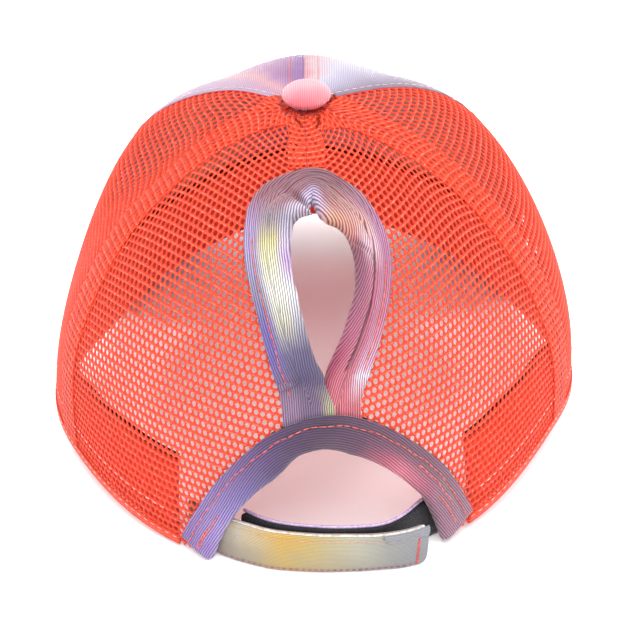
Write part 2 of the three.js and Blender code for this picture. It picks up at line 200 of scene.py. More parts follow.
def drapeTable(centre):
    # How a flat panel lies on the dome: its straight courses leave the centre line squarely and go
    # on as shortest paths. Gives azimuth and height above the rim, per millimetre of cloth.
    def around(turn, above):
        return np.maximum(radiusAt(turn, above / lengthsAt(turn)), 1.5)

    rows = np.arange(0.0, lengthAt(centre) + 2)
    table = np.zeros((len(rows), 2 * drapeReach + 1, 2))
    table[:, drapeReach] = np.stack([np.full(rows.shape, float(centre)), rows], axis=1)
    step = 1 / drapeSteps
    for way in (-1, 1):
        turn, above, climb = np.full(rows.shape, float(centre)), rows.copy(), np.zeros(rows.shape)
        turning = way / around(turn, above)
        for k in range(1, drapeReach + 1):
            for _ in range(drapeSteps):
                radius = around(turn, above)
                slope = (around(turn, above + 1) - around(turn, above - 1)) / 2
                climb = climb + step * radius * slope * turning**2
                turning = turning * (1 - 2 * step * slope / radius * climb)
                speed = np.hypot(climb, radius * turning)
                climb, turning = climb / speed, turning / speed
                turn, above = turn + np.degrees(turning) * step, above + climb * step
            table[:, drapeReach + way * k] = np.stack([turn, above], axis=1)
    return table


def drape(table, across, above):
    column = np.clip(across + drapeReach, 0, 2 * drapeReach)
    turn, rise = bilinear(table, np.clip(above, 0, len(table) - 1), column).T
    return turn, rise / lengthsAt(turn)


def readRows(rows, at, *columns):
    # Values between the rows of a table that has the place first
    table = np.array(rows, float)
    return [np.interp(at, table[:, 0], table[:, k]) for k in columns]


print("crown tables ready")


# Materials

def linear(code):
    parts = [int(code[k:k + 2], 16) / 255 for k in (1, 3, 5)]
    return tuple(c / 12.92 if c <= 0.04045 else ((c + 0.055) / 1.055) ** 2.4 for c in parts) + (1,)


def addNode(tree, kind, inputs=None, stops=None, take=0, **settings):
    # Adds a node with its settings and links, and gives the output that take names
    made = tree.nodes.new(f"ShaderNode{kind}")
    for name, value in settings.items():
        setattr(made, name, value)
    for name, value in (inputs or {}).items():
        if isinstance(value, bpy.types.NodeSocket):
            tree.links.new(value, made.inputs[name])
        else:
            made.inputs[name].default_value = value
    for k, (place, colour) in enumerate((stops or {}).items()):
        ramp = made.color_ramp.elements
        stop = ramp[k] if k < 2 else ramp.new(place)
        stop.position = place
        stop.color = linear(colour)
    return made.outputs[take] if made.outputs else None


def calc(tree, operation, *values):
    return addNode(tree, "Math", dict(enumerate(values)), operation=operation)


def vectorCalc(tree, operation, first, second):
    socket = 3 if operation == "SCALE" else 1
    return addNode(tree, "VectorMath", {0: first, socket: second}, operation=operation)


def split(tree, vector):
    return addNode(tree, "SeparateXYZ", {0: vector}, take=slice(None))


def remap(tree, value, fromMin, fromMax, toMin=0.0, toMax=1.0, **settings):
    return addNode(tree, "MapRange", {0: value, 1: fromMin, 2: fromMax, 3: toMin, 4: toMax}, **settings)


def noise(tree, where, scale, detail, roughness=0.5, take=0):
    return addNode(tree, "TexNoise", {
        "Vector": where, "Scale": scale, "Detail": detail, "Roughness": roughness}, take=take)


def bumped(tree, height, depth, strength=0.6):
    return addNode(tree, "Bump", {"Height": height, "Distance": depth * mm, "Strength": strength})


def ripple(tree, across, pitch, shape="SINE"):
    return calc(tree, shape, calc(tree, "MULTIPLY", across, 2 * pi / pitch))


def startMaterial(name):
    made = bpy.data.materials.new(name)
    made.use_nodes = True
    made.node_tree.nodes.clear()
    return made, made.node_tree


def finishMaterial(tree, colour, normal=None, **values):
    inputs = {"Base Color": colour, **{name.replace("_", " "): value for name, value in values.items()}}
    if normal is not None:
        inputs["Normal"] = normal
    addNode(tree, "OutputMaterial", {"Surface": addNode(tree, "BsdfPrincipled", inputs)})


def ribbedCloth(name, dye, ribs):
    # Ribbed cotton twill, hand dyed: raised ribs with painted shade in their grooves, blotches of dye
    # that bleed along the cloth. dye has ramps for the cloth's outer edge, perhaps its middle, and its
    # inner edge. ribs has their pitch in mm, and the axis of the flat cloth that they are counted along.
    made, tree = startMaterial(name)
    flat, place = (addNode(tree, "UVMap", uv_map=layer) for layer in ("flat", "dye"))
    blot = noise(tree, flat, dye["blotch"], 6.0, 0.66, take="Color")
    shift = vectorCalc(tree, "SUBTRACT", blot, (0.5, 0.5, 0.5))
    shift = vectorCalc(tree, "MULTIPLY", shift, dye["bleed"])
    along, across, _ = split(tree, vectorCalc(tree, "ADD", place, shift))
    colour = addNode(tree, "ValToRGB", {0: along}, dye["outer"])
    blends = {"middle": (0.18, 0.45), "inner": (0.62 if "middle" in dye else 0.25, 0.86)}
    for key, (start, end) in blends.items():
        if key in dye:
            share = remap(tree, across, start, end, interpolation_type="SMOOTHSTEP")
            ramp = addNode(tree, "ValToRGB", {0: along}, dye[key])
            colour = addNode(tree, "Mix", {0: share, 6: colour, 7: ramp}, take=2, data_type="RGBA")

    wobble = noise(tree, flat, 0.5, 2.0)
    across = calc(tree, "MULTIPLY_ADD", wobble, ribs["pitch"] * 0.5, split(tree, flat)[ribs["axis"]])
    height = remap(tree, ripple(tree, across, ribs["pitch"]), -1.0, 0.7)
    grain = noise(tree, flat, 2.6, 2.0, 0.7)
    # Painted shade: the colour is darkened in the grooves between the ribs, and less on their tops
    grooveShade = remap(tree, height, 0.0, 1.0, 0.78 - ribs["grooveShade"], ribs.get("ridge", 0.82))
    ribShadeAndGrain = calc(tree, "MULTIPLY", grooveShade, remap(tree, grain, 0.3, 0.75, 0.84, 1.13))
    relief = calc(tree, "MULTIPLY_ADD", grain, 0.35, height)
    finishMaterial(tree, vectorCalc(tree, "SCALE", colour, ribShadeAndGrain), bumped(tree, relief, ribs["depth"], 0.7),
                   Roughness=0.62, Sheen_Weight=0.25, Sheen_Roughness=0.5)
    return made


def netYarn(name, colours, courseSpacing):
    # Warp-knitted polyester net: smooth bright translucent yarn, with a thin broken line of painted
    # glints on the loops along each course.
    made, tree = startMaterial(name)
    flat = addNode(tree, "UVMap", uv_map="flat")
    above = calc(tree, "MULTIPLY_ADD", noise(tree, flat, 0.7, 1.0), 0.5, split(tree, flat)[1])
    # Painted glint: a thin pale line along each course, which the noise breaks up
    line = remap(tree, ripple(tree, above, courseSpacing, "COSINE"), -0.86, -1.0, 0.0, 0.24)
    toneAndGlint = calc(tree, "ADD", line, noise(tree, flat, 1.1, 2.0, 0.6))
    tint = addNode(tree, "ValToRGB", {0: toneAndGlint}, colours)
    twist = addNode(tree, "TexWave", {
        "Vector": flat, "Scale": 0.8, "Distortion": 3.0, "Detail": 1.0}, take="Fac")
    yarn = addNode(tree, "BsdfPrincipled", {
        "Base Color": tint, "Normal": bumped(tree, twist, 0.12), "Roughness": 0.45})
    through = addNode(tree, "BsdfTranslucent", {0: linear("#fb7672")})
    addNode(tree, "OutputMaterial", {"Surface": addNode(tree, "MixShader", {0: 0.45, 1: yarn, 2: through})})
    return made


def plainYarn(name, colour, darker, scale=900.0, roughness=0.5, depth=0.1, sheen=0.2):
    # Spun thread or close cloth of one colour, with fibre grain.
    made, tree = startMaterial(name)
    grain = noise(tree, addNode(tree, "TexCoord", take="Object"), scale, 3.0)
    tint = addNode(tree, "ValToRGB", {0: grain}, {0.35: darker, 0.62: colour})
    finishMaterial(tree, tint, bumped(tree, grain, depth), Roughness=roughness, Sheen_Weight=sheen)
    return made


# Pieces

def addObject(name, data):
    made = bpy.data.objects.new(name, data)
    bpy.context.scene.collection.objects.link(made)
    return made


def finishedMesh(piece, name):
    # The mesh that a temporary object comes to, which is then removed
    data = bpy.data.meshes.new_from_object(piece.evaluated_get(bpy.context.evaluated_depsgraph_get()))
    bpy.data.objects.remove(piece)
    data.name = name
    return data


def meshObject(name, bm, smooth=True):
    data = bpy.data.meshes.new(name)
    bm.to_mesh(data)
    bm.free()
    if smooth:
        data.shade_smooth()
    return addObject(name, data)


def settle(piece, material, nodes=()):
    piece.data.materials.clear()
    piece.data.materials.append(material)
    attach(piece, "root")
    if nodes:
        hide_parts(*nodes)
    return piece


def solidify(piece, thickness):
    # Thickens inwards
    wall = piece.modifiers.new("wall", "SOLIDIFY")
    wall.thickness = thickness * mm
    wall.offset = -1.0
    wall.use_even_offset = False
    return piece


def readCoordinates(data):
    found = np.zeros(len(data.vertices) * 3)
    data.vertices.foreach_get("co", found)
    return found.reshape(-1, 3)


def writeCoordinates(data, points):
    data.vertices.foreach_set("co", np.ascontiguousarray(points, np.float32).ravel())
    data.update()


def loopVertices(data):
    found = np.zeros(len(data.loops), np.int32)
    data.loops.foreach_get("vertex_index", found)
    return found


def writeUv(data, name, pairs):
    layer = data.uv_layers.new(name=name)
    layer.data.foreach_set("uv", np.ascontiguousarray(pairs[loopVertices(data)], np.float32).ravel())


def faceOutwards(piece, outward, weights=1.0):
    # outward(centres) gives a direction for each face centre: the mesh is turned if most disagree
    data = piece.data
    centres, normals = (np.array([getattr(face, key) for face in data.polygons])
                        for key in ("center", "normal"))
    if np.sum(weights * np.sum(normals * outward(centres), axis=1)) < 0:
        data.flip_normals()


def fromAxis(centres):
    return centres - (origin + np.array([0, 0, crown["height"] * 0.35]) * mm)


def clothGrid(name, columns, rows, wall, place, flatUv, dyeUv=None, outward=fromAxis, outside=0.0):
    # A cloth from a flat grid, with a wall in millimetres: place(a, b) gives the points for shares
    # along and across it. The faces beyond the share outside tell which way is out.
    bm = bmesh.new()
    bmesh.ops.create_grid(bm, x_segments=columns, y_segments=rows, size=0.5)
    piece = meshObject(name, bm)
    grid = readCoordinates(piece.data) + 0.5
    a, b = np.clip(grid[:, 0], 0, 1), np.clip(grid[:, 1], 0, 1)
    writeUv(piece.data, "flat", np.stack(flatUv(a, b), axis=1))
    if dyeUv is not None:
        writeUv(piece.data, "dye", np.stack(dyeUv(a, b), axis=1))
    weights = np.array([float(face.center.y + 0.5 > outside) for face in piece.data.polygons])
    writeCoordinates(piece.data, toRow(place(a, b)))
    faceOutwards(piece, outward, weights)
    return solidify(piece, wall)


# Net panels: staggered round holes between courses of double yarn

net = {
    "holeWidth": 1.62, "holeStretch": 1.15, "pitch": 2.22, "courseSpacing": 2.6,
    "yarn": 0.5,  # thickness of the net
    "face": -0.25,  # its outer face, from the outer face of the cloth
    "rise": 0.14,  # how far the yarn stands proud of the rims of the holes
    "edge": 0.12,  # half the gap at a seam
    "columns": 64, "doubleRows": 34,
}


def netSheet(holeWidth):
    a, b = net["pitch"], net["courseSpacing"]
    high = (a * a / 4 + b * b) / (2 * b)
    side = (b * b - a * a / 4) / (2 * b)
    corners = [(0, high), (-a / 2, side), (-a / 2, -side), (0, -high), (a / 2, -side), (a / 2, side)]
    bm = bmesh.new()
    ring = bmesh.ops.create_circle(bm, segments=12, radius=holeWidth / 2)["verts"]
    bmesh.ops.scale(bm, vec=(1, net["holeStretch"], 1), verts=ring)
    outer = bmesh.ops.create_circle(bm, segments=12, radius=b)["verts"]
    for k, vertex in enumerate(outer):
        start, end = Vector(corners[k // 2]), Vector(corners[(k // 2 + 1) % 6])
        vertex.co = ((start + end) / 2 if k % 2 else start).to_3d()
        vertex.co.z = 1
    bmesh.ops.bridge_loops(bm, edges=bm.edges[:])
    cell = bm.verts[:] + bm.edges[:] + bm.faces[:]
    second = bmesh.ops.duplicate(bm, geom=cell)["geom"]
    second = [part for part in second if isinstance(part, bmesh.types.BMVert)]
    bmesh.ops.translate(bm, verts=second, vec=(a / 2, b, 0))
    bmesh.ops.remove_doubles(bm, verts=bm.verts, dist=0.01)
    unit = meshObject("netUnit", bm)
    for count, step in ((net["columns"], (a, 0, 0)), (net["doubleRows"], (0, 2 * b, 0))):
        array = unit.modifiers.new("repeat", "ARRAY")
        array.count = count
        array.use_relative_offset = False
        array.use_constant_offset = True
        array.constant_offset_displace = step
        array.use_merge_vertices = True
        array.merge_threshold = 0.01
    return finishedMesh(unit, "netSheet")


def netPanel(name, sheet, centre, spec):
    # The sheet draped on the crown from the meridian at centre. spec has its two seams, or for a
    # band half its width, and face, lowest, shift and opening.
    data = sheet.copy()
    data.name = name
    flat = readCoordinates(data)
    lowest, top = spec.get("lowest", 0.0) / lengthAt(centre), spec.get("top", crown["top"])
    half = spec.get("half", drapeReach)
    flat[:, 0] += spec.get("shift", 0) - net["columns"] * net["pitch"] / 2
    quads = loopVertices(data).reshape(-1, 4)
    inside = np.abs(flat[:, 0]) < half
    azimuth, up = drape(drapeTable(centre), np.clip(flat[:, 0], -half, half), flat[:, 1])
    inside &= (up > lowest) & (up < top) & (flat[:, 1] >= 0)
    up = np.clip(up, lowest, top)
    if "seams" in spec:
        first, last = spec["seams"]
        trim = np.degrees(net["edge"] / np.maximum(radiusAt(azimuth, up), 4))
        inside &= (azimuth > first) & (azimuth < last)
        azimuth = np.clip(azimuth, first + trim, last - trim)
    keep = inside[quads].any(axis=1)
    if "opening" in spec:
        keep &= ~spec["opening"](azimuth, up)[quads].any(axis=1)
    writeUv(data, "flat", flat[:, :2])
    points = crownPoint(azimuth, up, spec["face"] + net["rise"] * (flat[:, 2] - 1))
    writeCoordinates(data, toRow(points))
    bm = bmesh.new()
    bm.from_mesh(data)
    bm.faces.ensure_lookup_table()
    bmesh.ops.delete(bm, geom=[bm.faces[k] for k in np.flatnonzero(~keep)], context="FACES")
    bmesh.ops.dissolve_degenerate(bm, edges=bm.edges, dist=0.02 * mm)
    bm.to_mesh(data)
    bm.free()
    data.shade_smooth()
    piece = addObject(name, data)
    faceOutwards(piece, fromAxis)
    return solidify(piece, net["yarn"])


# Openings at the back

hole = {
    "length": 57, "width": 22, "bottom": 67.4, "sideways": 3.5, "foot": 57.6, "footGap": 0.25,
    # along from the lower tip, and the left and right edges as shares of the width
    "outline": [
        (0.0, 0.03, 0.03), (0.08, 0.12, 0.09), (0.23, 0.26, 0.29), (0.41, 0.38, 0.47), (0.56, 0.46, 0.53),
        (0.67, 0.49, 0.5), (0.82, 0.46, 0.36), (0.91, 0.38, 0.19), (0.97, 0.24, 0.03),
    ],
    "topSideways": -0.1,
}
arch = {"height": 45, "width": 83, "sideways": 1.5}


def smoothLine(points, samples):
    # A centripetal curve through points, with the same number of samples in each stretch
    p = np.array(points, float)
    p = np.concatenate([[2 * p[0] - p[1]], p, [2 * p[-1] - p[-2]]])
    made = []
    for k in range(1, len(p) - 2):
        before, here, ahead, after = p[k - 1:k + 3]
        d0, d1, d2 = (math.sqrt(np.linalg.norm(v)) for v in (here - before, ahead - here, after - ahead))
        leave = ((here - before) / d0 - (ahead - before) / (d0 + d1) + (ahead - here) / d1) * d1
        arrive = ((ahead - here) / d1 - (after - here) / (d1 + d2) + (after - ahead) / d2) * d1
        t = np.linspace(0, 1, samples, endpoint=False)[:, None]
        square, cube = -3 * here + 3 * ahead - 2 * leave - arrive, 2 * here - 2 * ahead + leave + arrive
        made.append(here + leave * t + square * t**2 + cube * t**3)
    return np.concatenate(made + [p[-2:-1]])


def holeLine():
    middle, tip = hole["sideways"], hole["bottom"]
    left, right = ([(middle + way * row[k] * hole["width"], tip + row[0] * hole["length"])
                    for row in hole["outline"]] for way, k in ((-1, 1), (1, 2)))
    top = (middle + hole["topSideways"] * hole["width"], tip + hole["length"])
    feet = [(middle + side * hole["footGap"], hole["foot"]) for side in (-1, 1)]
    return smoothLine([feet[0], *left, top, *right[::-1], feet[1]], 24)


def archLine():
    share = np.linspace(-1, 1, 241)
    return np.stack([arch["sideways"] + share * arch["width"] / 2, arch["height"] * (1 - share**2)], axis=1)


def measured(line):
    return np.concatenate([[0], np.cumsum(np.linalg.norm(np.diff(line, axis=0), axis=1))])


def alongLine(line, share):
    # Points and unit directions at shares of a line's length, straight on beyond its ends
    steps = measured(line)
    within = np.clip(share, 0, 1)
    slope = np.gradient(line, steps, axis=0)
    point, ahead = (np.stack([np.interp(within * steps[-1], steps, table[:, k]) for k in (0, 1)], axis=-1)
                    for table in (line, slope))
    ahead = ahead / np.linalg.norm(ahead, axis=-1, keepdims=True)
    return point + ahead * ((share - within) * steps[-1])[..., None], ahead


def besideLine(line, share, outside):
    point, ahead = alongLine(line, share)
    return point[..., 0] - ahead[..., 1] * outside, point[..., 1] + ahead[..., 0] * outside


holeEdge, archEdge = holeLine(), archLine()


def inOpening(margin):
    # Tells which points of the crown lie in either opening or within a margin of its edge
    share = np.linspace(0, 0.5, 200)
    left, right = (besideLine(holeEdge, at, margin)[::-1] for at in (share, 1 - share))
    bow, height = (side[::-1] for side in besideLine(archEdge, 0.5 + share, margin))
    highest = hole["bottom"] + hole["length"] + margin

    def test(azimuth, up):
        above = up * lengthAt(0)
        across = np.radians(azimuth) * radiusAt(0, up)
        inHole = (across > np.interp(above, *left)) & (across < np.interp(above, *right)) & (above < highest)
        half = np.interp(above, height, bow - arch["sideways"])
        inArch = (np.abs(across - arch["sideways"]) < half) & (above < height[-1])
        return inHole & (above > hole["foot"]) | inArch | (
            (np.abs(across - hole["sideways"]) < margin) & (above < hole["bottom"]))

    return test


# The palest stop, #fcae96, is the painted glint along the courses
orange = netYarn("polyesterNetWarpKnitted", {0.2: "#cf3d22", 0.42: "#ea4b29", 0.62: "#f25f39",
                                             0.85: "#fcae96"}, net["courseSpacing"])
sheet = netSheet(net["holeWidth"])
rear, front = crown["rearSeam"], crown["frontSeam"]
for side, word in ((-1, "left"), (1, "right")):
    piece = netPanel(f"rear_net_{word}", sheet, side * rear // 2, {
        "seams": sorted((0, side * rear)), "face": net["face"], "opening": inOpening(4.0)})
    settle(piece, orange, [f"rear_mesh_{word}"])
    piece = netPanel(f"side_net_{word}", sheet, side * 94, {
        "seams": sorted((side * rear, side * front)), "face": net["face"]})
    settle(piece, orange, [f"side_mesh_{word}"])

# Seam allowances: the net's turned edges, a denser band inside each seam
bands = {"half": 6.5, "face": 0.25, "holeWidth": 1.1, "shift": 1.1, "backFoot": 134.5, "top": 0.95}
denseSheet = netSheet(bands["holeWidth"])
for word, azimuth, lowest in (("left", -rear, 0), ("right", rear, 0), ("back", 0, bands["backFoot"])):
    piece = netPanel(f"seam_net_{word}", denseSheet, azimuth, {**bands, "lowest": lowest})
    settle(piece, orange, [f"seam_band_{word}"])
print("net panels ready")


# Tubes and stitches

def tube(name, points, width, material):
    # A round cord through points in millimetres
    curve = bpy.data.curves.new(name, "CURVE")
    curve.dimensions = "3D"
    curve.bevel_depth = width / 2 * mm
    curve.bevel_resolution = 1
    curve.use_fill_caps = True
    spline = curve.splines.new("POLY")
    placed = toRow(points)
    spline.points.add(len(placed) - 1)
    for spot, point in zip(spline.points, placed):
        spot.co = (*point, 1)
    data = finishedMesh(addObject(name + "_line", curve), name)
    data.shade_smooth()
    settle(addObject(name, data), material)


def crownRoute(azimuths, ups, out):
    return crownPoint(azimuths, ups, out), lookUp(crownNormals, azimuths, ups)


def addStitch(bm, start, end, normal, width):
    along = Vector(end - start)
    length = along.length
    along.normalize()
    side = Vector(normal).cross(along).normalized()
    turn = Matrix((along, side, along.cross(side))).transposed().to_4x4()
    size = Matrix.Diagonal((length * mm, width * mm, width * 0.7 * mm, 1))
    place = Matrix.Translation(toRow((start + end) / 2)) @ turn @ size @ Matrix.Rotation(pi / 2, 4, "Y")
    bmesh.ops.create_uvsphere(bm, u_segments=6, v_segments=5, radius=0.5, matrix=place)


def dashes(bm, points, normals, stitch, gap, width):
    # Stitches one after another along a line of points
    steps = measured(points)
    at = 0.3
    while at + stitch < steps[-1]:
        start, end, middle = (
            np.array([np.interp(d, steps, line[:, k]) for k in range(3)])
            for d, line in ((at, points), (at + stitch, points), (at + stitch / 2, normals)))
        addStitch(bm, start, end, middle, width)
        at += stitch + gap


def stitching(name, rows, material, gap, width, stitch=2.3):
    bm = bmesh.new()
    for points, normals in rows:
        dashes(bm, points, normals, stitch, gap, width)
    settle(meshObject(name, bm), material)


orangeThread = plainYarn("polyesterThreadOrange", "#ff7a4a", "#d9482c")
redThread = plainYarn("polyesterThreadDeepRed", "#c4200f", "#9a1408", sheen=0.0)
paleThread = plainYarn("cottonThreadPale", "#f6d9d2", "#e0a79c")
rustThread = plainYarn("polyesterThreadRust", "#ee6a44", "#b8402a")

# Seams of the net: two turned edges meet in a thin dark line
ups = np.linspace(0, crown["top"], 90)
seamLines = {"rear_left": (-rear, 0), "rear_right": (rear, 0), "back": (0, bands["backFoot"] / lengthAt(0))}
for word, (azimuth, lowest) in seamLines.items():
    rise = np.linspace(lowest, crown["top"], 90)
    tube(f"seam_line_{word}", crownPoint(azimuth, rise, 0.05), 0.5, redThread)
for word, side in (("left", -1), ("right", 1)):
    tube(f"seam_line_front_{word}", crownPoint(side * front, ups, -0.5), 0.7, redThread)


# Front panels

twill = {
    "edge": 0.15, "wall": 1.1, "width": 75,
    "pucker": 0.16, "puckerPitch": 7, "puckerReach": 4, "puckerWander": 0.21,
    "topstitch": 4.7,  # from the centre seam
    "seamStitch": 2.2,  # from the seam to the net
}
frontRibs = {"pitch": 0.8, "axis": 0, "grooveShade": 0.22, "depth": 0.1}
dyeLeft = {
    "blotch": 0.035, "bleed": (0.5, 0.5, 0),
    "outer": {0: "#9d93b5", 0.25: "#cbb6c8", 0.5: "#efd2b4", 0.75: "#d79aa8", 1: "#8f7fae"},
    "inner": {0: "#b79fc0", 0.3: "#c795b4", 0.5: "#dca2ac", 0.7: "#b07cae", 0.84: "#a1699c",
              0.9: "#9560a3"},
}
dyeRight = {
    "blotch": 0.035, "bleed": (0.4, 0.5, 0),
    "outer": {0: "#a2667f", 0.25: "#e2a1a8", 0.5: "#f3dcc0", 0.75: "#c8c4dd", 1: "#e4a9bd"},
    "inner": {0: "#82748c", 0.25: "#a898b4", 0.5: "#bdb4d0", 0.72: "#d4cde0", 0.88: "#e2bcc2",
              0.97: "#dc98a8"},
}


def frontCloth(side, word, dye):
    def azimuthAt(a, up):
        trim = np.degrees(twill["edge"] / np.maximum(radiusAt(side * front, up), 2))
        return side * (front + trim + (180 - front - 2 * trim) * a)

    def place(a, b):
        up = b * crown["top"]
        above = b * lengthAt(180)
        near = sum(np.exp(-(x * twill["width"] / twill["puckerReach"]) ** 2) for x in (1 - a, a))
        wave = np.sin(above * 2 * pi / twill["puckerPitch"] + 2 * np.sin(above * twill["puckerWander"]))
        return crownPoint(azimuthAt(a, up), up, twill["pucker"] * near * wave - 0.1)

    def flatUv(a, b):
        up = b * crown["top"]
        azimuth = azimuthAt(a, up)
        return np.radians(np.abs(azimuth) - 180) * radiusAt(azimuth, up), up * lengthAt(180)

    piece = clothGrid(f"front_cloth_{word}", 64, 72, twill["wall"], place, flatUv, lambda a, b: (a, b))
    material = ribbedCloth(f"cottonTwillDyed{word.title()}", dye, frontRibs)
    settle(piece, material, [f"front_panel_{word}"])


frontCloth(-1, "left", dyeLeft)
frontCloth(1, "right", dyeRight)


def besideSeam(azimuth, distance, highest):
    rise = np.linspace(0.01, highest, 120)
    radius = np.maximum(radiusAt(azimuth, rise), 2)
    return crownRoute(azimuth + np.degrees(distance / radius), rise, 0.12)


stitching("topstitch_front", [besideSeam(180, side * twill["topstitch"], 0.94) for side in (1, -1)],
          orangeThread, gap=0.4, width=0.28)
stitching("topstitch_sides",
          [besideSeam(side * front, side * twill["seamStitch"], 0.95) for side in (1, -1)],
          paleThread, gap=0.6, width=0.3)
tube("seam_line_centre", crownPoint(180, ups, -0.55), 0.6, plainYarn(
    "cottonSeamShadow", "#9a6a86", "#6f4763"))
print("front panels ready")


# Sweatband and rim

band = {"height": 30, "face": -2.65, "wall": 1.3, "from": 57.5, "hem": 0.55, "hemRadius": 1.2}
rim = {"height": 3.2, "wall": 0.5, "face": 0.25, "from": 54.5}


def bandSpan(distance):
    # From one azimuth round the front to another, each at a distance from the arch's middle
    right, left = (float(flatAzimuth(0, arch["sideways"] + way * distance, 0.0)[0]) for way in (1, -1))
    return right, 360 + left


def ringCloth(name, columns, rows, spec, span):
    def place(a, b):
        azimuth = span[0] + (span[1] - span[0]) * a
        above = spec["height"] * b
        roll = np.sqrt(np.maximum(1 - (above / band["hemRadius"] - 1) ** 2, 0)) * spec.get("hem", 0)
        return crownPoint(azimuth, above / lengthsAt(azimuth), spec["face"] + roll)

    def flatUv(a, b):
        return a * math.radians(span[1] - span[0]) * crown["length"] / 2, spec["height"] * b

    return clothGrid(name, columns, rows, spec["wall"], place, flatUv)


def ringRoute(above, out, span, samples=400):
    azimuth = np.linspace(*span, samples)
    return crownRoute(azimuth, above / lengthsAt(azimuth), out)


sweatSpan = bandSpan(band["from"])
sweatRed = plainYarn("polyesterKnitSweatband", "#f4492e", "#dd3a22", 500, 0.7, 0.12, 0.3)
piece = ringCloth("sweatband_cloth", 220, 14, band, sweatSpan)
settle(piece, sweatRed, ["sweatband"])

# The dark red cord along the sweatband's top edge is painted shadow: it stands for the shade in the gap
# between the sweatband and the cloth above it.
paintedGapShadow = plainYarn("paintedShadowGapDarkRed", "#5a0f0c", "#2c0505", 500, 0.8, 0.1, 0.0)
points, _ = ringRoute(band["height"] + 0.9, band["face"] - 0.2, sweatSpan, 500)
tube("sweatband_painted_shadow_line", points, 2.2, paintedGapShadow)

rimStart, rimEnd = bandSpan(rim["from"])
for word, span in (("right", (rimStart, front)), ("left", (360 - front, rimEnd))):
    settle(ringCloth(f"rim_turn_{word}", 120, 4, rim, span), orange)

# height, over the cloth, distance of the ends from the arch's middle, and short of the front seam
rimRows = [(2.4, rim["face"] + 0.1, 55, 0), (11.5, 0.05, 60, 2)]
stitching("rim_stitches", [
    ringRoute(above, out, span)
    for above, out, start, short in rimRows
    for span in ((bandSpan(start)[0], front - short), (360 + short - front, bandSpan(start)[1]))
], paleThread, stitch=1.8, gap=1.3, width=0.3)
print("sweatband and rim ready")


# Tapes round the two openings

# In both tapes: the fold's share of half the width, its radius, how high over the cloth the tape's
# middle is and half its thickness, the lowest that the outer and inner sides reach, and the share
# of the length in which a crease begins and ends
fold = {"share": 0.16, "radius": 1.6, "middle": -0.5, "half": 2.0, "lowest": (-0.7, -3.1), "fade": 0.025}


def tapeShape(spec, a, w):
    # a runs along the tape; w from 1 at its stitched edge over the fold at 0 to -1 on the inner
    # side. Gives the distance outside the opening's line and the height over the cloth.
    reach, width, puff, drift = readRows(spec["rows"], a, 1, 2, 3, 4)
    turn = np.clip(w / fold["share"], -1, 1) * pi / 2
    beyond = np.clip((np.abs(w) - fold["share"]) / (1 - fold["share"]), 0, 1)
    outside = reach + fold["radius"] * (1 - np.cos(turn)) + beyond * (width - reach - fold["radius"])
    outer = np.clip(w, 0, 1)
    out = fold["middle"] + fold["half"] * np.sin(turn)
    for at, spread, height in spec["lifts"]:
        out = out + height * np.exp(-((np.clip(a, 0, 1) - at) / spread) ** 2)
    out = out + puff * np.sin(pi * np.clip(outer / spec["crest"], 0, 1) ** 0.8) * (w > 0)
    for at, across, spread, spreadAcross, height in spec["folds"]:
        away = ((a - at) / spread) ** 2 + ((outer - across) / spreadAcross) ** 2
        out = out + height * (w > 0) * np.exp(-away)
    for at, slope, spread, depth, first, last in spec["creases"]:
        line = at + slope * (a - (first + last) / 2)
        within = np.clip((a - first) / fold["fade"], 0, 1) * np.clip((last - a) / fold["fade"], 0, 1)
        out = out - depth * (w > 0) * within * np.exp(-((outer - line) / spread) ** 2)
    return outside, np.maximum(out, np.where(w > 0, *fold["lowest"])), drift * (outer < spec["driftTo"])


def tapeCloth(name, edge, spec, material, node):
    def shareAt(a):
        return a + spec["beyond"] * (2 * a - 1)

    def place(a, b):
        outside, out, _ = tapeShape(spec, shareAt(a), 2 * b - 1)
        across, above = besideLine(edge, shareAt(a), outside)
        return flatPoint(0, across, np.maximum(above, spec["lowest"]), out)

    def flatUv(a, b):
        outside, _, drift = tapeShape(spec, shareAt(a), 2 * b - 1)
        return shareAt(a) * measured(edge)[-1], outside + drift

    piece = clothGrid(name, spec["columns"], spec["across"], spec["wall"], place, flatUv,
                      lambda a, b: (shareAt(a), 1 - np.abs(2 * b - 1)), outside=0.6)
    settle(piece, material, [node])


